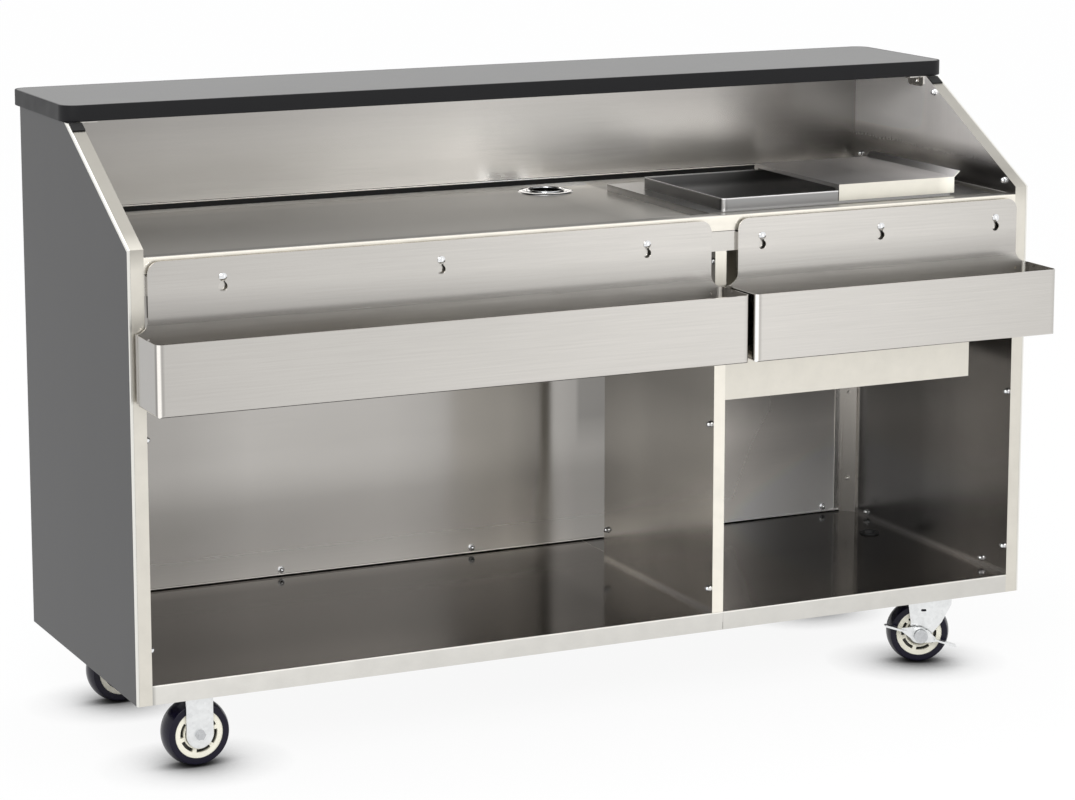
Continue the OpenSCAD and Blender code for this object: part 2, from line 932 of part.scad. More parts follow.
// Wheel core: rim ring, hub and deep arc pockets between six spokes.
module core() {
    face = tyre_w / 2 - 2;
    hub = leg_y - 0.4;
    pocket = 17;
    arc = 47;
    rotate([90, 0, 0])
        difference() {
            rotate_extrude($fn = 96)
                polygon([
                    [axle_r + 0.05, -hub], [13, -hub], [13, -face],
                    [17, -face + 3], [17, -face + 6], [24, -face + 6], [26.5, -face + 0.5],
                    [46, -face], [46, face], [26.5, face - 0.5], [24, face - 6],
                    [17, face - 6], [17, face - 3], [13, face],
                    [13, hub], [axle_r + 0.05, hub]
                ]);
            for (i = [0 : 5])
                for (z = [-face - 1, face - pocket])
                    rotate([0, 0, 15 + (60 - arc) / 2 + i * 60])
                        translate([0, 0, z])
                            rotate_extrude(angle = arc, $fn = 96)
                                translate([29.5, 0])
                                    square([6.5, pocket + 1]);
        }
}

// Axle bolt with a hex head and a nut outside the legs.
module axle_bolt() {
    y = leg_y + leg_t;
    y_rod(0, 0, -y - 6, y + 8, axle_r);
    translate([0, -y, 0])
        rotate([90, 0, 0])
            cylinder(h = 5.5, r = 10, $fn = 6);
    translate([0, y + 7, 0])
        rotate([90, 0, 0])
            cylinder(h = 7, r = 10, $fn = 6);
}

// Straight-legged rigid fork with its mounting plate.
module rigid_fork() {
    top = plate_z - wheel_r;
    difference() {
        union() {
            block([-55, -42, top - plate_t], [55, 42, top]);
            for (s = [-1, 1])
                along_y(
                    s > 0 ? leg_y : -leg_y - leg_t,
                    s > 0 ? leg_y + leg_t : -leg_y
                ) {
                    translate([-26, 0])
                        square([52, top - 1]);
                    circle(26, $fn = 64);
                }
        }
        plate_holes(top);
        y_rod(0, 0, -45, 45, axle_r + 0.02);
    }
}

// Bolts and nuts that hold the four caster plates to the frame.
module plate_bolts() {
    for (x = [rigid_x, swivel_x])
        for (y = [caster_y0, caster_y1])
            for (dx = [-44, 44])
                for (dy = [-30, 30])
                    translate([x + dx, y + dy, plate_z]) {
                        translate([0, 0, -8])
                            cylinder(h = 5, r = 6.5, $fn = 6);
                        translate([0, 0, -8])
                            cylinder(h = 20, r = 4, $fn = 32);
                        translate([0, 0, 4])
                            cylinder(h = 6, r = 6.5, $fn = 6);
                    }
}

// Four bolt holes of a caster's mounting plate.
module plate_holes(top) {
    for (dx = [-44, 44])
        for (dy = [-30, 30])
            translate([dx, dy, top - plate_t - 1])
                cylinder(h = plate_t + 2, r = 4.2, $fn = 32);
}

// Swivel caster's fixed part: plate, ball race and kingpin.
module swivel_plate() {
    top = plate_z - wheel_r;
    translate([trail, 0, 0]) {
        difference() {
            block([-55, -42, top - plate_t], [55, 42, top]);
            plate_holes(top);
        }
        translate([0, 0, top - 10.7])
            cylinder(h = 8, r = 31, $fn = 64);
        translate([0, 0, top - 27])
            cylinder(h = 25, r = 8, $fn = 48);
        translate([0, 0, top - 26])
            cylinder(h = 6.5, r = 14, $fn = 6);
    }
}

// Swivel fork: round crown, tapered legs set back from the swivel axis.
module swivel_fork() {
    crown = plate_z - wheel_r - 11;
    difference() {
        union() {
            translate([trail, 0, crown - 6])
                cylinder(h = 6, r = 36, $fn = 64);
            block(
                [trail - 44, -leg_y - leg_t, crown - 8],
                [trail + 42, leg_y + leg_t, crown - 5]
            );
            for (s = [-1, 1])
                along_y(
                    s > 0 ? leg_y : -leg_y - leg_t,
                    s > 0 ? leg_y + leg_t : -leg_y
                ) {
                    polygon([
                        [trail - 45, crown - 5], [trail + 43, crown - 5],
                        [trail + 42, crown - 22], [trail + 23, 24],
                        [16, -12], [-16, -12], [-20, 0], [trail - 40, 24],
                        [trail - 45, crown - 22]
                    ]);
                    circle(20, $fn = 64);
                }
        }
        translate([trail, 0, crown - 10])
            cylinder(h = 20, r = 8.05, $fn = 48);
        y_rod(0, 0, -45, 45, axle_r + 0.02);
        // small oval window in each leg
        along_y(-45, 45) {
            translate([8, 49])
                square([6, 5], center = true);
            for (x = [5, 11])
                translate([x, 49])
                    circle(2.5, $fn = 32);
        }
    }
}

// Rocker brake pedal on the axle, outside the front leg.
module pedal() {
    y1 = -leg_y - leg_t - 6.5;
    y0 = y1 - 13;
    difference() {
        union() {
            y_rod(0, 0, y0 + 2, y1 + 1, 15.5);
            rotate([0, 17, 0]) {
                // pressed blades, wide at the hub and narrow at the treads
                along_y(y1 - 3, y1)
                    polygon([
                        [-40, -3], [-14, -13], [14, -13], [36, -5],
                        [36, 1], [14, 13], [-14, 13], [-40, 3]
                    ]);
                for (s = [-1, 1])
                    along_y(y0, y1)
                        polygon([
                            [s * 30, -1.5], [s * 74, -2.5], [s * 77, 0],
                            [s * 74, 2], [s * 30, 2]
                        ]);
            }
        }
        y_rod(0, 0, y0 - 1, y1 + 2, axle_r + 5.5);
    }
}

// Bush that carries the pedal on the axle bolt.
module pedal_bush() {
    y1 = -leg_y - leg_t;
    difference() {
        y_rod(0, 0, y1 - 21, y1, axle_r + 5.4);
        y_rod(0, 0, y1 - 30, y1 + 1, axle_r);
    }
}

// Axle of a braked caster: a longer bolt with a bush under the pedal.
module braked_axle() {
    y = leg_y + leg_t;
    y_rod(0, 0, -y - 23, y + 8, axle_r);
    translate([0, -y - 21, 0])
        rotate([90, 0, 0])
            cylinder(h = 4, r = 13.5, $fn = 48);
    pedal_bush();
    translate([0, y + 7, 0])
        rotate([90, 0, 0])
            cylinder(h = 7, r = 10, $fn = 6);
}

laminate = [0.24, 0.25, 0.26];
steel = [0.78, 0.77, 0.74];
chrome = [0.86, 0.87, 0.88];
dark = [0.1, 0.1, 0.1];
zinc = [0.82, 0.84, 0.86];
ivory = [0.89, 0.87, 0.74];
navy = [0.09, 0.08, 0.13];

module left_end_panel() { in_place() color(laminate) end_panel(); }
module right_end_panel() { in_place() color(laminate) other_end() end_panel(); }
module rear_panel() {
    in_place()
        color(laminate)
            block([board_t, back_y + sheet, body_z], [body_w - board_t, body_d, top_z]);
}
module left_edge_trim() { in_place() color(chrome) edge_trim(); }
module right_edge_trim() { in_place() color(chrome) other_end() edge_trim(); }
module left_liner() { in_place() color(steel) side_liner(); }
module right_liner() { in_place() color(steel) other_end() side_liner(); }
module back_liner() { in_place() color(steel) back_wall(floor_z + 1, work_under); }
module back_splash() { in_place() color(steel) back_wall(nosing_z - 4.5, top_z); }
module corner_strip() { in_place() color(steel) rear_corner_strip(); }
module divider() { in_place() color(steel) partition(); }
module left_shelf() {
    in_place()
        color(steel)
            shelf(wall_x, post_x + post_w - 0.5);
}
module right_shelf() {
    in_place()
        color(steel)
            shelf(post_x + post_w + 0.5, wall_x1);
}
module base_frame() { in_place() color(dark) underframe(); }
module caster_bolts() { in_place() color(zinc) plate_bolts(); }
module cross_rail() { in_place() color(steel) top_rail(); }
module worktop() { in_place() color(steel) worktop_sheet(); }
module bar_top() { in_place() color(laminate) bar_board(); }
module bar_edge() { in_place() color(dark) edge_band(); }
module left_brackets() { in_place() color(steel) bar_brackets(); }
module right_brackets() { in_place() color(steel) other_end() bar_brackets(); }
module top_pads() { in_place() color(dark) pads(); }
module drain_body() { in_place() color(chrome) drain_cup(); }
module drain_gasket() { in_place() color(dark) drain_washer(); }
module drain_nut() { in_place() color(zinc) lock_nut(); }
module drain_basket() { in_place() color(chrome) basket(); }
module ice_bin() { in_place() color(steel) bin_sheet(); }
module bin_foam() { in_place() color(ivory) foam_fill(); }
module bin_casing() { in_place() color(steel) casing(); }
module bin_drain() { in_place() color(chrome) bin_outlet(); }
module ice_lid() { in_place() color(steel) lid(); }
module left_rail() { in_place() color(steel) speed_rail(rail_l0, rail_l1, left_screws); }
module right_rail() { in_place() color(steel) speed_rail(rail_r0, rail_r1, right_screws); }
module left_rail_screws() { in_place() color(chrome) rail_screws(left_screws); }
module right_rail_screws() { in_place() color(chrome) rail_screws(right_screws); }
module cap_nuts() { in_place() color(chrome) wall_nuts(); }
module floor_grommet() { in_place() color(dark) grommet(); }

// Places a coloured piece drawn about a rigid caster's wheel centre.
module rigid_piece(y, c) {
    in_place()
        color(c)
            translate([rigid_x, y, wheel_r])
                children();
}

// Places a coloured piece drawn about a swivel caster's wheel centre.
module swivel_piece(y, c, turn) {
    in_place()
        color(c)
            translate([swivel_x, y, wheel_r])
                rotate([0, 0, turn])
                    translate([-trail, 0, 0])
                        children();
}

module front_left_fork() { rigid_piece(caster_y0, zinc) rigid_fork(); }
module front_left_axle() { rigid_piece(caster_y0, zinc) axle_bolt(); }
module front_left_core() { rigid_piece(caster_y0, ivory) core(); }
module front_left_tyre() { rigid_piece(caster_y0, navy) tyre(); }
module rear_left_fork() { rigid_piece(caster_y1, zinc) rigid_fork(); }
module rear_left_axle() { rigid_piece(caster_y1, zinc) axle_bolt(); }
module rear_left_core() { rigid_piece(caster_y1, ivory) core(); }
module rear_left_tyre() { rigid_piece(caster_y1, navy) tyre(); }
module front_right_plate() { swivel_piece(caster_y0, zinc, 0) swivel_plate(); }
module front_right_fork() { swivel_piece(caster_y0, zinc, front_turn) swivel_fork(); }
module front_right_axle() { swivel_piece(caster_y0, zinc, front_turn) braked_axle(); }
module front_right_core() { swivel_piece(caster_y0, ivory, front_turn) core(); }
module front_right_tyre() { swivel_piece(caster_y0, navy, front_turn) tyre(); }
module front_right_pedal() { swivel_piece(caster_y0, zinc, front_turn) pedal(); }
module rear_right_plate() { swivel_piece(caster_y1, zinc, 0) swivel_plate(); }
module rear_right_fork() { swivel_piece(caster_y1, zinc, 0) swivel_fork(); }
module rear_right_axle() { swivel_piece(caster_y1, zinc, 0) braked_axle(); }
module rear_right_core() { swivel_piece(caster_y1, ivory, 0) core(); }
module rear_right_tyre() { swivel_piece(caster_y1, navy, 0) tyre(); }
module rear_right_pedal() { swivel_piece(caster_y1, zinc, 0) pedal(); }

left_end_panel();
right_end_panel();
rear_panel();
left_edge_trim();
right_edge_trim();
left_liner();
right_liner();
back_liner();
back_splash();
corner_strip();
divider();
left_shelf();
right_shelf();
base_frame();
caster_bolts();
cross_rail();
worktop();
bar_top();
bar_edge();
left_brackets();
right_brackets();
top_pads();
drain_body();
drain_gasket();
drain_nut();
drain_basket();
ice_bin();
bin_foam();
bin_casing();
bin_drain();
ice_lid();
left_rail();
right_rail();
left_rail_screws();
right_rail_screws();
cap_nuts();
floor_grommet();
front_left_fork();
front_left_axle();
front_left_core();
front_left_tyre();
rear_left_fork();
rear_left_axle();
rear_left_core();
rear_left_tyre();
front_right_plate();
front_right_fork();
front_right_axle();
front_right_core();
front_right_tyre();
front_right_pedal();
rear_right_plate();
rear_right_fork();
rear_right_axle();
rear_right_core();
rear_right_tyre();
rear_right_pedal();
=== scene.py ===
"""Looks for the bar sink with ice bin: materials, softened edges, studio and camera."""
import json
import math

import bpy
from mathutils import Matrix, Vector

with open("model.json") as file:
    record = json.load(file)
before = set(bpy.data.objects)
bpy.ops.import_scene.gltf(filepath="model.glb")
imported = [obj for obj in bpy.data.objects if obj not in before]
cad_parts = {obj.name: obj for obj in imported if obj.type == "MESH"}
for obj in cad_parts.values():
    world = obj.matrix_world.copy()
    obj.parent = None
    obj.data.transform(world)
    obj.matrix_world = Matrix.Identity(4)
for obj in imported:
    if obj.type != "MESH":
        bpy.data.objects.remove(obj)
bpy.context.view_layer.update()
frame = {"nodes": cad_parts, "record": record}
NODES = frame["nodes"]

# ---------------------------------------------------------------- node helpers


class Graph:
    """Builds a material's nodes.

    new(type, settings, input=value or link) makes a node and returns it. An input is named as
    its socket is, with _ for a space, or i3 for the socket at index 3.
    """

    def __init__(self, name):
        self.material = bpy.data.materials.new(name)
        self.material.use_nodes = True
        self.tree = self.material.node_tree
        self.tree.nodes.clear()
        self.out = self.tree.nodes.new("ShaderNodeOutputMaterial")

    def new(self, kind, settings=None, **inputs):
        node = self.tree.nodes.new("ShaderNode" + kind)
        for key, value in (settings or {}).items():
            setattr(node, key, value)
        for key, value in inputs.items():
            self.set(node, key, value)
        return node

    def set(self, node, key, value):
        socket = node.inputs[int(key[1:])] if key[0] == "i" and key[1:].isdigit() \
            else node.inputs[key.replace("_", " ")]
        if isinstance(value, bpy.types.NodeSocket):
            self.tree.links.new(value, socket)
        elif isinstance(value, bpy.types.Node):
            self.tree.links.new(value.outputs[0], socket)
        else:
            socket.default_value = value

    def math(self, op, a, b=0.0, clamp=False):
        return self.new("Math", {"operation": op, "use_clamp": clamp}, i0=a, i1=b).outputs[0]

    def ramp(self, value, stops):
        node = self.new("ValToRGB", None, Fac=value)
        ramp = node.color_ramp
        while len(ramp.elements) < len(stops):
            ramp.elements.new(0.5)
        for element, (at, level) in zip(ramp.elements, stops):
            element.position = at
            c = level if isinstance(level, tuple) else (level,) * 3
            element.color = (*c, 1)
        return node.outputs[0]

    def place(self, scale=(1, 1, 1)):
        """Object coordinates, stretched where a scale is under 1."""
        coord = self.new("TexCoord")
        return self.new("Mapping", None, Vector=coord.outputs["Object"], Scale=scale).outputs[0]

    def noise(self, vector, scale, detail, rough):
        return self.new("TexNoise", None, Vector=vector, Scale=scale, Detail=detail,
                        Roughness=rough).outputs["Fac"]

    def mix(self, fac, a, b):
        node = self.new("Mix", {"data_type": "RGBA"})
        for index, value in ((0, fac), (6, a), (7, b)):
            if isinstance(value, bpy.types.NodeSocket):
                self.tree.links.new(value, node.inputs[index])
            else:
                node.inputs[index].default_value = (*value, 1) if isinstance(value, tuple) \
                    else value
        return node.outputs[2]

    def spread(self, value, low, high):
        """A 0 to 1 value brought to the range low to high."""
        return self.new("MapRange", None, Value=value, i3=low, i4=high).outputs[0]

    def curve(self, value, stops):
        """A factor read off (value, factor) stops, with straight lines between them."""
        low, high = stops[0][0], stops[-1][0]
        peak = max(factor for _, factor in stops)
        place = self.new("MapRange", None, Value=value, i1=low, i2=high).outputs[0]
        tones = self.ramp(place, [((v - low) / (high - low), f / peak) for v, f in stops])
        return self.math("MULTIPLY", tones, peak)

    def profile(self, axis, stops):
        """A factor along one axis, given as (body-frame mm, factor) stops."""
        parts = self.new("SeparateXYZ", None, i0=self.new("TexCoord").outputs["Object"])
        return self.curve(parts.outputs["xyz".index(axis)],
                          [(at(axis, mm), factor) for mm, factor in stops])

    def inside(self, limits):
        """1 within every (axis, stops) band of body-frame mm, 0 outside, soft at the edges."""
        mask = 1.0
        for axis, stops in limits:
            mask = self.math("MULTIPLY", mask, self.profile(axis, stops))
        return mask

    def facing(self, axis):
        """How far the surface looks along an axis, from -1 to 1."""
        parts = self.new("SeparateXYZ", None, i0=self.new("TexCoord").outputs["Normal"])
        return parts.outputs["xyz".index(axis)]

    def scaled(self, color, factor):
        return self.new("VectorMath", {"operation": "SCALE"}, i0=color, Scale=factor).outputs[0]

    def varied(self, level, color, share):
        """A colour that goes from share darker to share lighter as level goes from 0 to 1."""
        return self.mix(level, tuple(c * (1 - share) for c in color),
                        tuple(min(1.0, c * (1 + share)) for c in color))

    def surface(self, **inputs):
        """The finished material, with a Principled shader that has these inputs."""
        shader = self.new("BsdfPrincipled", None, **inputs)
        self.tree.links.new(shader.outputs[0], self.out.inputs["Surface"])
        return self.material


# ---------------------------------------------------------------- materials

# this scene's origin in the body frame of the part's source, in millimetres
ORIGIN_MM = {"x": 948.5, "y": 279.5, "z": 0.0}


def at(axis, mm):
    """Body-frame millimetres to this scene's metres, along one axis."""
    return (mm - ORIGIN_MM[axis]) / 1000.0


LINE_SCALE = 500.0      # brushing lines about 2 mm apart before they are drawn out
LINE_STRETCH = 0.012    # share of that scale along the grain
CLOUD_SCALE = 9.0       # broad patches, about 0.1 m
CLOUD_STRETCH = 0.3
LINE_HEIGHT = 0.0002    # relief of the lines, in metres
ROUGH_SPREAD = (-0.05, 0.07)    # roughness round its middle value, from line to line
MILL_SCALE = 26.0       # blotches of the folded edges' mill finish
MILL_SHARE = (0.90, 1.08)
MILL_ROUGH = (0.30, 0.42)
FACES_AXIS = 0.7        # a face looks along an axis when its normal's part there is above this
FACES_UP = 0.97         # the same for "not z", so that rolled edges count as edges
ACROSS_GRAIN = 0.25     # quarter turn of the tangent


def brushed(name, color, rough=0.22, grain="X", aniso=0.6, tone=(), turn=(), mill_and_light=None,
            depth=0.03, cloud=0.05, axis="Z", fine=0.15, vary=1.0, rim=1.0, patches=()):
    """Brushed stainless sheet.

    Fine lines along the grain (fine is their contrast, depth their relief), a soft cloudy
    variation, and reflections drawn out round the tangent's axis. tone holds
    (axis, [(mm, factor), ...]): painted light and shade on the sheet along a direction. turn
    holds (axis, [(facing, factor), ...]): painted light and shade by where it looks.
    mill_and_light is (way, color, tones): faces that look along y, or with "not x" those that
    don't look along x, have the blotched milled finish of the folded edges in a lit colour,
    painted light, with tones of painted light and shade. patches holds (limits, tone, blur,
    metal): inside the limits the painted tone, the roughness and the metallic share are
    multiplied by these. vary scales how much the roughness changes from line to line, and rim
    is how strongly the sheet mirrors at a grazing look.
    """
    g = Graph(name)
    lines = g.noise(g.place(tuple(LINE_STRETCH if a == grain else 1 for a in "XYZ")),
                    LINE_SCALE, 3.0, 0.7)
    broad = g.noise(g.place(tuple(CLOUD_STRETCH if a == grain else 1 for a in "XYZ")),
                    CLOUD_SCALE, 3.0, 0.55)
    shade = g.math("ADD", g.math("MULTIPLY", g.math("SUBTRACT", lines, 0.5), fine),
                   g.math("MULTIPLY", g.math("SUBTRACT", broad, 0.5), cloud * 2))
    shade = g.math("ADD", shade, 1.0)
    # tone: painted light and shade along each direction
    for axis_name, stops in tone:
        shade = g.math("MULTIPLY", shade, g.profile(axis_name, stops))
    # turn: painted light and shade by where the surface looks
    for axis_name, stops in turn:
        shade = g.math("MULTIPLY", shade, g.curve(g.facing(axis_name), stops))
    roughness = g.spread(g.math("ADD", g.math("MULTIPLY", lines, 0.6),
                                g.math("MULTIPLY", broad, 0.4)),
                         *(rough + share * vary for share in ROUGH_SPREAD))
    metallic = 1.0
    # patches: painted light and shade inside their limits, with changes of roughness and
    # metallic share
    for limits, factor, blur, metal in patches:
        mask = g.inside(limits)
        if factor != 1.0:
            shade = g.math("MULTIPLY", shade, g.spread(mask, 1.0, factor))
        if blur != 1.0:
            roughness = g.math("MULTIPLY", roughness, g.spread(mask, 1.0, blur))
        if metal != 1.0:
            metallic = g.math("MULTIPLY", metallic, g.spread(mask, 1.0, metal))
    colour = g.scaled(color, shade)
    # faces in a lit colour over the blotched milled finish: painted light
    if mill_and_light:
        way, lit_mill_color, mill_painted_tones = mill_and_light
        along = g.math("GREATER_THAN", g.math("ABSOLUTE", g.facing(way[-1])),
                       FACES_UP if way == "not z" else FACES_AXIS)
        edge = g.math("SUBTRACT", 1.0, along) if way.startswith("not") else along
        blot = g.noise(g.place(), MILL_SCALE, 4.0, 0.6)
        mottled_lit = g.mix(blot, *(tuple(c * share for c in lit_mill_color) for share in MILL_SHARE))
        for axis_name, stops in mill_painted_tones:
            mottled_lit = g.scaled(mottled_lit, g.profile(axis_name, stops))
        colour = g.mix(edge, colour, mottled_lit)
        roughness = g.new("Mix", None, i0=edge, i2=roughness,
                          i3=g.spread(blot, *MILL_ROUGH)).outputs[0]
    bump = g.new("Bump", None, Strength=depth, Distance=LINE_HEIGHT, Height=lines)
    tangent = g.new("Tangent", {"direction_type": "RADIAL", "axis": axis})
    return g.surface(Base_Color=colour, Metallic=metallic, Roughness=roughness, Normal=bump,
                     Anisotropic=aniso, Anisotropic_Rotation=ACROSS_GRAIN, Tangent=tangent,
                     Specular_Tint=(rim, rim, rim, 1))


def polished(name, color):
    """Chrome plating with faint wiping marks."""
    g = Graph(name)
    marks = g.noise(g.place(), 60.0, 4.0, 0.6)
    bump = g.new("Bump", None, Strength=0.03, Distance=0.0005, Height=marks)
    return g.surface(Base_Color=(*color, 1), Metallic=1.0,
                     Roughness=g.spread(marks, 0.06, 0.11), Normal=bump)


def plated(name, color, rough):
    """Bright zinc plating with faint crystal patches."""
    g = Graph(name)
    patch = g.new("TexVoronoi", None, Vector=g.place(), Scale=170.0).outputs["Color"]
    level = g.new("SeparateColor", None, i0=patch).outputs[0]
    stain = g.noise(g.place(), 45.0, 4.0, 0.6)
    tone = g.math("ADD", g.math("MULTIPLY", level, 0.25), g.math("MULTIPLY", stain, 0.75))
    bump = g.new("Bump", None, Strength=0.05, Distance=0.0006, Height=stain)
    return g.surface(Base_Color=g.varied(tone, color, 0.18), Metallic=1.0,
                     Roughness=g.spread(tone, rough - 0.08, rough + 0.12), Normal=bump)


def laminate(name, color, rough=0.35, gloss=0.5, painted_shade_side=None):
    """High-pressure laminate with a fine suede texture and faint vertical streaks.

    painted_shade_side is the colour of the side that looks towards the bartender: painted shade.
    """
    g = Graph(name)
    pebble = g.noise(g.place(), 1100.0, 2.0, 0.6)
    streak = g.noise(g.place((1, 1, 0.04)), 60.0, 4.0, 0.6)
    cloud = g.noise(g.place((1, 1, 0.5)), 5.0, 3.0, 0.5)
    level = g.math("ADD", g.math("MULTIPLY", streak, 0.4), g.math("MULTIPLY", cloud, 0.6))
    colour = g.varied(level, color, 0.14)
    # the side that looks towards the bartender takes that near black colour: painted shade
    if painted_shade_side:
        colour = g.mix(g.math("LESS_THAN", g.facing("y"), -FACES_AXIS), colour, painted_shade_side)
    bump = g.new("Bump", None, Strength=0.12, Distance=0.0002, Height=pebble)
    return g.surface(Base_Color=colour, Roughness=g.spread(pebble, rough - 0.04, rough + 0.06),
                     Normal=bump, Specular_IOR_Level=gloss)


def moulded(name, color, rough, size, strength, gloss=0.5):
    """Plastic, rubber, foam or paint with a pebbled skin of this noise scale and strength."""
    g = Graph(name)
    pebble = g.noise(g.place(), size, 3.0, 0.6)
    cloud = g.noise(g.place(), 30.0, 3.0, 0.5)
    bump = g.new("Bump", None, Strength=strength, Distance=0.0004, Height=pebble)
    return g.surface(Base_Color=g.varied(cloud, color, 0.05), Normal=bump,
                     Roughness=g.spread(cloud, rough - 0.05, rough + 0.07),
                     Specular_IOR_Level=gloss)


STEEL = (0.56, 0.54, 0.51)
# a darker copy of the stainless steel for the side liners: painted shade
SHADED_WALL = (0.50, 0.485, 0.475)
# lit colours over the blotched milled finish of the folded edges, painted light: posts and
# casing, then worktop and partition
LIT_CREAM = (0.72, 0.69, 0.62)
LIT_PALE = (0.90, 0.86, 0.77)
# the floor pans' aprons below the bays, in a lit colour over their blotched milled finish,
# painted light, with a painted highlight along their top bend, painted shade at their left end
# and slightly darker towards the right
FOOT_MILL_AND_LIGHT = ("not z", (0.71, 0.695, 0.655), [
    ("x", [(28.5, 0.6), (30, 0.6), (31, 1.05), (600, 1.0), (1852, 0.9)]),
    ("z", [(143, 0.98), (176, 1.0), (177.5, 1.3), (180, 1.3)])])
# painted highlight on a tray's rounded front corners; painted shade on its end walls
CORNER_LIGHT_AND_SHADE = [(-1.0, 0.72), (-0.95, 0.56), (-0.88, 0.6), (-0.8, 1.9), (-0.55, 1.9), (-0.4, 0.85),
          (-0.25, 0.75), (-0.1, 0.93), (0.0, 1.0), (1.0, 0.8)]
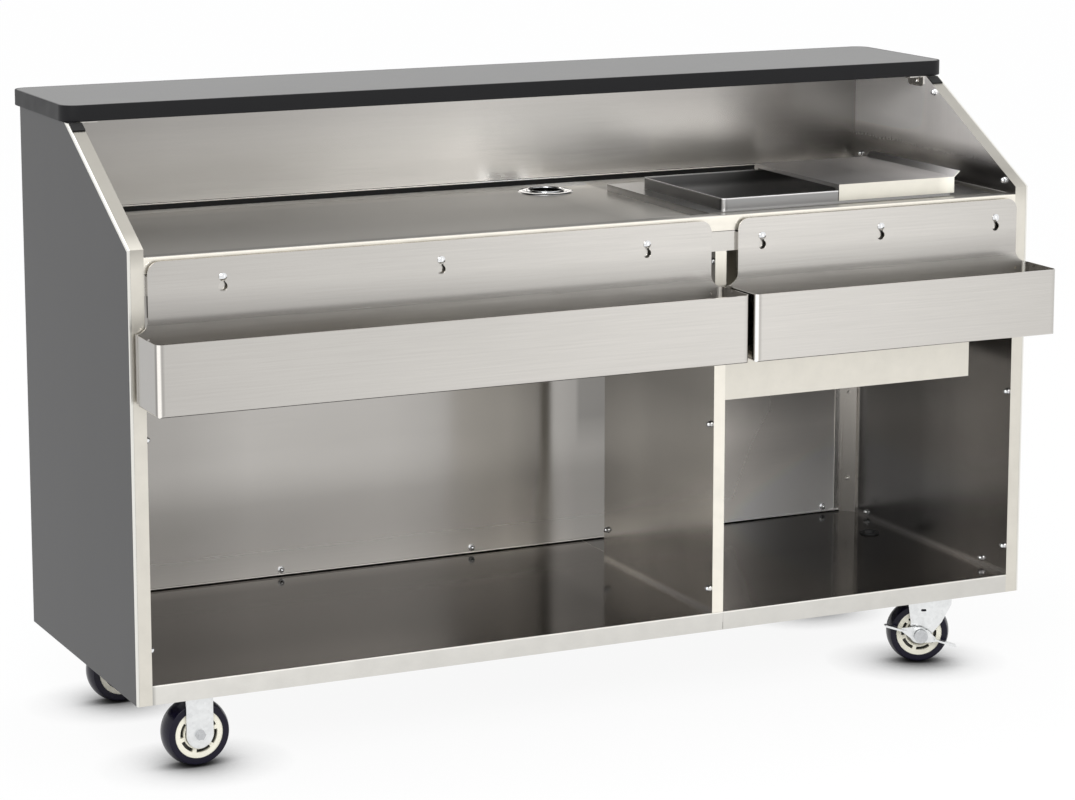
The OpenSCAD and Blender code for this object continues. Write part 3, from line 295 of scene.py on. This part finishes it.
# painted light on the faces in a tray that look towards the back, standing in for the light
# passed on between them
INSIDE_PAINTED_LIGHT = [(-1.0, 1.0), (0.2, 1.0), (0.8, 1.7), (1.0, 1.7)]
MATERIALS = {
    "laminate": laminate("laminate", (0.033, 0.0332, 0.034), gloss=0.22),
    # the rear board's side towards the bartender is near black: painted shade in the gap behind
    # the worktop
    "rear_board": laminate("rear_board", (0.040, 0.0403, 0.041), gloss=0.25,
                           painted_shade_side=(0.004, 0.004, 0.004)),
    "bar_laminate": laminate("bar_laminate", (0.075, 0.074, 0.072), 0.32, gloss=0.36),
    "edge_band": moulded("edge_band", (0.008, 0.008, 0.009), 0.45, 500, 0.05, gloss=0.2),
    # speed rails: painted highlights on the rounded corners, painted light rising towards the
    # middle, painted shade in the gap between them at 1183, and a painted shaded band on the
    # plate above the tray's edge
    "tray": brushed("tray", STEEL, 0.15, aniso=0.35, turn=[("x", CORNER_LIGHT_AND_SHADE), ("y", INSIDE_PAINTED_LIGHT)], tone=[
        ("x", [(8, 0.92), (200, 0.99), (600, 1.09), (1000, 1.20), (1181, 1.21), (1182, 0.5),
               (1184, 0.5), (1185, 1.21), (1240, 1.22), (1500, 1.17), (1874, 1.07)])],
        patches=[([("y", [(-14, 0), (-12, 1)]), ("z", [(834, 1), (852, 0)])], 0.9, 2.0, 1.0),
                 ([("y", [(-14, 0), (-12, 1)]), ("z", [(834, 0), (848, 1), (862, 1), (900, 0)])],
                  0.80, 1.0, 1.0)]),
    # back sheet above the worktop, with painted light and shade along it: lighter at the middle
    # and along its foot at the worktop, darker at the left end, towards the top and most towards
    # the right rear corner
    "splash": brushed("splash", STEEL, 0.20, aniso=0.7, tone=[
        ("x", [(28, 0.78), (300, 0.95), (600, 1.0), (900, 1.08), (1000, 1.15), (1200, 1.08),
               (1350, 0.90), (1500, 0.80), (1600, 0.53), (1852, 0.34)]),
        ("z", [(956, 1.7), (961, 1.7), (962, 1.45), (1000, 1.22), (1060, 0.98), (1110, 0.80),
               (1163, 0.76)])]),
    # lower back sheet, seen through both bays, with painted light and shade along it: a painted
    # highlight along its foot hem, painted light low down and towards the right end, and painted
    # shade just right of the partition, which stands at 1180, and in the right bay above 400
    "back": brushed("back", STEEL, 0.18, aniso=0.7, depth=0.004, fine=0.06, vary=0.1, tone=[
        ("x", [(28, 0.62), (300, 0.71), (450, 0.86), (750, 0.84), (900, 0.72), (1020, 0.92),
               (1180, 0.58), (1250, 0.55), (1350, 0.36), (1500, 0.90), (1650, 1.25),
               (1780, 1.6), (1852, 1.7)]),
        ("z", [(180, 1.9), (185, 1.9), (186.5, 1.75), (210, 1.7), (260, 1.5), (330, 1.14),
               (450, 0.99), (946, 1.0)])],
        patches=[([("z", [(200, 1), (420, 0)])], 1.0, 1.6, 1.0),
                 ([("x", [(1180, 0), (1190, 1)]), ("z", [(380, 0), (450, 1)])], 0.72, 1.0, 1.0),
                 ([("x", [(1560, 0), (1700, 1)])], 1.0, 1.8, 0.8)]),
    # corner strip: a lighter steel than the sheets round it: painted light
    "strip": brushed("strip", (0.78, 0.76, 0.73), 0.25, "Z", aniso=0.0),
    # worktop, on a darker steel, with painted light and shade across it: painted light on the
    # step beside the ice bin and on a strip along the back sheet, a lighter band behind the
    # nosing, and the nosing's front in a lit colour
    "work": brushed("work", (0.36, 0.35, 0.33), 0.32, aniso=0.5, axis="Y", tone=[
        ("y", [(0, 0.86), (26, 0.86), (30, 1.18), (150, 1.18), (250, 0.96), (400, 0.86),
               (520, 0.82), (570, 1.3), (590, 2.2), (623, 2.4)]),
        ("x", [(28, 1.05), (300, 1.04), (500, 0.96), (900, 1.04), (1040, 1.05), (1120, 1.8),
               (1180, 2.1), (1190, 1.2), (1852, 1.2)])],
        mill_and_light=("y", LIT_PALE, [("z", [(931, 0.95), (940, 0.97), (955, 1.0), (962, 1.05)])]),
        patches=[([("y", [(580, 0), (596, 1)])], 1.0, 1.5, 0.55)]),
    # side liners and partition: painted light and shade on the faces inside the bays below and
    # above the worktop, and the front posts and edges in a lit colour, painted light
    # left liner: a little lighter above the worktop, with its front post darker there: painted
    # light and shade
    "wall_l": brushed("wall_l", SHADED_WALL, 0.22, "Z", aniso=0.2,
                      tone=[("z", [(143, 1.0), (940, 1.0), (960, 1.1), (1163, 1.1)])],
                      mill_and_light=("not x", LIT_CREAM, [("z", [(143, 1.0), (940, 1.0), (1000, 0.40),
                                                    (1163, 0.40)])])),
    # right liner: painted shade down in the bay, deepest at its back, painted light towards the
    # bay's front and above the worktop, most at the upper back, and its front post darker above
    # the worktop
    "wall_r": brushed("wall_r", SHADED_WALL, 0.22, "Z", aniso=0.2,
                      tone=[("z", [(143, 0.8), (184, 0.8), (190, 0.36), (200, 0.35),
                                   (260, 0.28), (350, 0.25), (450, 0.26), (540, 0.255),
                                   (640, 0.27), (940, 0.4),
                                   (960, 0.5), (990, 0.6), (1015, 1.1), (1045, 1.8),
                                   (1163, 1.9)])],
                      patches=[([("z", [(930, 1), (950, 0)]), ("y", [(0, 1), (130, 0.62),
                                 (220, 0.25), (340, 0)])], 4.0, 1.0, 1.0),
                               ([("z", [(930, 1), (950, 0)]), ("y", [(300, 0), (450, 1)])],
                                0.78, 1.0, 1.0),
                               ([("z", [(1000, 0), (1045, 1)])], 1.0, 1.6, 0.62),
                               ([("z", [(1030, 0), (1070, 1)]), ("y", [(330, 0), (450, 1)])],
                                1.6, 1.0, 1.0)],
                      mill_and_light=("not x", LIT_CREAM, [("z", [(143, 0.96), (940, 0.98), (1000, 0.60),
                                                    (1163, 0.56)])])),
    # partition: a darker steel with painted light towards its front and a painted highlight
    # along its foot hem, painted shade rising towards the worktop, and its front edge in a lit
    # colour
    "partition": brushed("partition", (0.45, 0.435, 0.41), 0.16, "Z", aniso=0.3,
                         tone=[("y", [(0, 1.75), (60, 1.62), (250, 1.2), (470, 1.08)]),
                               ("z", [(179, 2.0), (184, 2.0), (189, 1.1), (220, 1.08),
                                      (300, 0.88), (420, 0.96), (500, 0.79), (600, 0.52),
                                      (780, 0.45), (850, 0.35),
                                      (945, 0.35)])],
                         mill_and_light=("not x", LIT_PALE, [])),
    # floor pans, with painted light and shade: lighter at the front, darker deeper in the bays,
    # the left pan darkest towards x 1000 and lighter again along the back sheet, and the right
    # pan on a darker base colour, painted shade
    "pan_l": brushed("pan_l", (0.52, 0.49, 0.465), 0.10, "X", aniso=0.0, mill_and_light=FOOT_MILL_AND_LIGHT, rim=0.53,
                     tone=[
        ("x", [(28, 0.54), (300, 0.52), (450, 0.46), (600, 0.40), (1000, 0.37), (1050, 0.46),
               (1173, 0.46)]),
        ("y", [(0, 1.15), (60, 1.12), (200, 0.85), (350, 0.77), (540, 0.75), (600, 1.1),
               (623, 1.2)])]),
    "pan_r": brushed("pan_r", (0.36, 0.346, 0.336), 0.10, "X", aniso=0.0, mill_and_light=FOOT_MILL_AND_LIGHT, rim=0.58,
                     tone=[
        ("y", [(0, 1.1), (60, 1.05), (200, 0.66), (350, 0.42), (623, 0.45)])]),
    # ice bin casing: its front faces in a lit colour: painted light
    "casing": brushed("casing", STEEL, 0.2, mill_and_light=("y", LIT_CREAM, [])),
    # cross rail: a lighter steel than the sheets: painted light
    "rail": brushed("rail", (0.62, 0.60, 0.565), 0.25),
    # ice bin: painted light inside, painted shade on its rim with a painted highlight along the
    # top edge, painted highlights on its rounded corners and painted shade on faces that look
    # left; and its lid
    "bin": brushed("bin", (0.42, 0.415, 0.41), 0.28, "X", aniso=0.3, turn=[("x", [
        (-1.0, 0.30), (-0.9, 0.4), (-0.75, 1.9), (-0.5, 1.9), (-0.3, 1.1), (1.0, 1.1)])],
        tone=[("z", [(640, 1.7), (955, 1.7), (962, 0.85), (966, 0.62), (983, 0.66),
                     (984.2, 2.2), (985, 2.2)])]),
    # lid: a darker steel with painted light rising towards the right, and its front in a lit
    # colour, brighter at the right end
    "lid": brushed("lid", (0.32, 0.31, 0.305), 0.30, "X", aniso=0.2, cloud=0.01, fine=0.10,
                   tone=[("x", [(1473, 1.25), (1600, 1.7), (1690, 2.9), (1760, 2.9)])],
                   mill_and_light=("y", (0.82, 0.79, 0.70), [("x", [(1473, 0.95), (1700, 1.0),
                                                          (1725, 1.25), (1740, 1.25)])])),
    "bright_trim": brushed("bright_trim", (0.80, 0.79, 0.74), 0.28, "Z", 0.0),
    "chrome": polished("chrome", (0.80, 0.81, 0.82)),
    "zinc": plated("zinc", (0.80, 0.81, 0.81), 0.30),
    # axle bolts: a darker copy of the zinc: painted shade that sets them off against the forks
    "bolt": plated("bolt", (0.55, 0.56, 0.57), 0.22),
    "frame_paint": moulded("frame_paint", (0.05, 0.05, 0.055), 0.4, 400, 0.1),
    "black_rubber": moulded("black_rubber", (0.02, 0.02, 0.02), 0.6, 900, 0.2),
    "black_pad": moulded("black_pad", (0.010, 0.010, 0.010), 0.5, 900, 0.2, gloss=0.2),
    "foam": moulded("foam", (0.85, 0.8, 0.6), 0.9, 500, 0.4),
    "tread": moulded("tread", (0.005, 0.004, 0.014), 0.24, 260, 0.10, gloss=0.25),
}

# a node takes the material of its slot's name, apart from these slots and nodes
SLOT_PAINT = {"stainless": "tray"}
NODE_PAINT = {
    "left_liner": "wall_l", "right_liner": "wall_r", "divider": "partition",
    "bar_top": "bar_laminate", "rear_panel": "rear_board", "left_shelf": "pan_l",
    "right_shelf": "pan_r", "back_splash": "splash", "back_liner": "back",
    "worktop": "work", "bin_casing": "casing", "cross_rail": "rail", "ice_bin": "bin",
    "ice_lid": "lid", "corner_strip": "strip", "front_left_axle": "bolt",
    "rear_left_axle": "bolt", "front_right_axle": "bolt", "rear_right_axle": "bolt",
}
# distances from a wheel core's mid-plane, in metres
CORE_FACE = 0.023
POCKET_FLOOR = CORE_FACE - 0.007
POCKET_LIP = CORE_FACE - 0.002
# a core's middle and axis are those of its wheel's joint
spins = {j["child"]: j for j in frame["record"]["behaviour"]["joints"]}


def core(wheel):
    """Ivory wheel core, with painted shade down in its pockets on either side of the mid-plane.
    """
    joint = spins[wheel + "_wheel"]
    g = Graph("ivory_" + wheel)
    way = g.new("VectorMath", {"operation": "SUBTRACT"}, i0=g.new("TexCoord").outputs["Object"],
                i1=tuple(joint["pos_m"]))
    depth = g.new("VectorMath", {"operation": "DOT_PRODUCT"}, i0=way,
                  i1=tuple(joint["axis"])).outputs["Value"]
    depth = g.math("ABSOLUTE", depth)
    # painted shade: about a seventh of the colour on the pockets' floors, full again at their
    # lips
    open_air = g.curve(depth, [(0.0, 0.10), (POCKET_FLOOR, 0.14), (POCKET_LIP, 1.0),
                               (CORE_FACE + 0.01, 1.0)])
    cloud = g.noise(g.place(), 30.0, 3.0, 0.5)
    colour = g.mix(cloud, (0.88, 0.85, 0.71), (0.95, 0.92, 0.79))
    bump = g.new("Bump", None, Strength=0.05, Distance=0.0004,
                 Height=g.noise(g.place(), 300.0, 3.0, 0.6))
    return g.surface(Base_Color=g.scaled(colour, open_air), Roughness=g.spread(cloud, 0.3, 0.42),
                     Normal=bump)


slots = {s["node"]: s["material_slot"] for s in frame["record"]["subparts"]}
for node, obj in NODES.items():
    obj.data.materials.clear()
    if node.endswith("_core"):
        obj.data.materials.append(core(node[:-len("_core")]))
    else:
        paint = NODE_PAINT.get(node) or SLOT_PAINT.get(slots[node], slots[node])
        obj.data.materials.append(MATERIALS[paint])

# ---------------------------------------------------------------- edges

SAME_POINT = 1e-5       # metres
SAME_PLANE_DEG = 0.5
SHARP_DEG = 35


def soften(obj, width):
    """Rounds a CAD node's sharp edges slightly, as cut and banded board has."""
    weld = obj.modifiers.new("weld", "WELD")
    weld.merge_threshold = SAME_POINT
    flat = obj.modifiers.new("flat", "DECIMATE")
    flat.decimate_type = "DISSOLVE"
    flat.angle_limit = math.radians(SAME_PLANE_DEG)
    bevel = obj.modifiers.new("bevel", "BEVEL")
    bevel.width = width
    bevel.segments = 2
    bevel.limit_method = "ANGLE"
    bevel.angle_limit = math.radians(SHARP_DEG)
    bevel.harden_normals = False
    normals = obj.modifiers.new("normals", "WEIGHTED_NORMAL")
    normals.keep_sharp = True


SOFT = {"bar_top": 0.002, "bar_edge": 0.0025}
for node, width in SOFT.items():
    soften(NODES[node], width)

# ---------------------------------------------------------------- studio

# soft boxes: name, width and height in metres, watts, place; all aimed at the middle
LAMPS = [("key", (3.0, 2.0), 100, (-2.6, -4.2, 3.4)),
         ("fill", (1.8, 2.4), 10, (2.6, -4.7, 1.7)),
         ("top", (3.0, 2.0), 30, (0, 0.4, 4.2))]
MIDDLE = Vector((0, 0, 0.6))

for name, size, watts, place in LAMPS:
    data = bpy.data.lights.new(name, "AREA")
    data.shape = "RECTANGLE"
    data.size, data.size_y = size
    data.energy = watts
    lamp = bpy.data.objects.new(name, data)
    lamp.location = place
    lamp.rotation_euler = (MIDDLE - Vector(place)).to_track_quat("-Z", "Y").to_euler()
    bpy.context.scene.collection.objects.link(lamp)

# the world is pure white to the camera and in reflections, and lights the object slightly cooler
SEEN_WHITE = (1, 1, 1, 1)
LIT_WHITE = (0.98, 0.985, 1.0, 1)
world = bpy.data.worlds.new("studio")
bpy.context.scene.world = world
world.use_nodes = True
tree = world.node_tree
tree.nodes.clear()
out = tree.nodes.new("ShaderNodeOutputWorld")
path = tree.nodes.new("ShaderNodeLightPath")
seen = tree.nodes.new("ShaderNodeBackground")
seen.inputs["Color"].default_value = SEEN_WHITE
lit = tree.nodes.new("ShaderNodeBackground")
lit.inputs["Color"].default_value = LIT_WHITE
pick = tree.nodes.new("ShaderNodeMath")
pick.operation = "MAXIMUM"
tree.links.new(path.outputs["Is Camera Ray"], pick.inputs[0])
tree.links.new(path.outputs["Is Glossy Ray"], pick.inputs[1])
both = tree.nodes.new("ShaderNodeMixShader")
tree.links.new(pick.outputs[0], both.inputs[0])
tree.links.new(lit.outputs[0], both.inputs[1])
tree.links.new(seen.outputs[0], both.inputs[2])
tree.links.new(both.outputs[0], out.inputs[0])

# the floor shows white, apart from the shadow close to what stands on it
FLOOR_HALF = 30.0
FLOOR_DROP = 0.0004     # just below the tyres, so that the two don't share a plane
SHADOW_REACH = 0.135
SHADOW_POWER = 3.0
SHADOW_COLOR = (0.04, 0.04, 0.04)
FLOOR_COLOR = (0.93, 0.93, 0.93)
GLOW_SHARE = 0.92       # of what the camera sees; the rest takes the lamps' own soft shadows
mesh = bpy.data.meshes.new("studio_floor")
mesh.from_pydata([(x * FLOOR_HALF, y * FLOOR_HALF, 0)
                  for x, y in ((-1, -1), (1, -1), (1, 1), (-1, 1))], [], [(0, 1, 2, 3)])
floor = bpy.data.objects.new("studio_floor", mesh)
bpy.context.scene.collection.objects.link(floor)
floor.location = (0, 0, -FLOOR_DROP)
g = Graph("studio_floor")
light = g.new("LightPath")
seen_ray = g.math("MAXIMUM", light.outputs["Is Camera Ray"], light.outputs["Is Glossy Ray"])
near = g.new("AmbientOcclusion", {"samples": 12}, Distance=SHADOW_REACH)
open_air = g.math("POWER", near.outputs["AO"], SHADOW_POWER)
diffuse = g.new("BsdfDiffuse", None, Color=g.mix(open_air, SHADOW_COLOR, FLOOR_COLOR))
glow = g.new("Emission", None, Color=SEEN_WHITE, Strength=1.0)
share = g.math("MULTIPLY", seen_ray, g.math("MULTIPLY", open_air, GLOW_SHARE))
blend = g.new("MixShader", None, i0=share, i1=diffuse, i2=glow)
g.tree.links.new(blend.outputs[0], g.out.inputs["Surface"])
mesh.materials.append(g.material)

# ---------------------------------------------------------------- camera

PHOTO_WIDTH_PX = 1075.0
FOCAL_PX = 3307.875
SENSOR_MM = 36.0
SHIFT_Y = -0.1          # the photo keeps verticals upright and is framed below the horizon
CAMERA_PLACE = (-2.760184, -5.767415, 1.907663)
LOOK_DOWN_DEG = 9.953
LOOK_ASIDE_DEG = 25.42

camera_data = bpy.data.cameras.new("camera")
camera_data.sensor_width = SENSOR_MM
camera_data.lens = FOCAL_PX * SENSOR_MM / PHOTO_WIDTH_PX
camera_data.shift_y = SHIFT_Y
camera_data.clip_end = 100.0
camera = bpy.data.objects.new("camera", camera_data)
bpy.context.scene.collection.objects.link(camera)
camera.location = CAMERA_PLACE
camera.rotation_euler = (math.radians(90 - LOOK_DOWN_DEG), 0, math.radians(-LOOK_ASIDE_DEG))
bpy.context.scene.camera = camera
bpy.context.scene.view_settings.view_transform = "Standard"
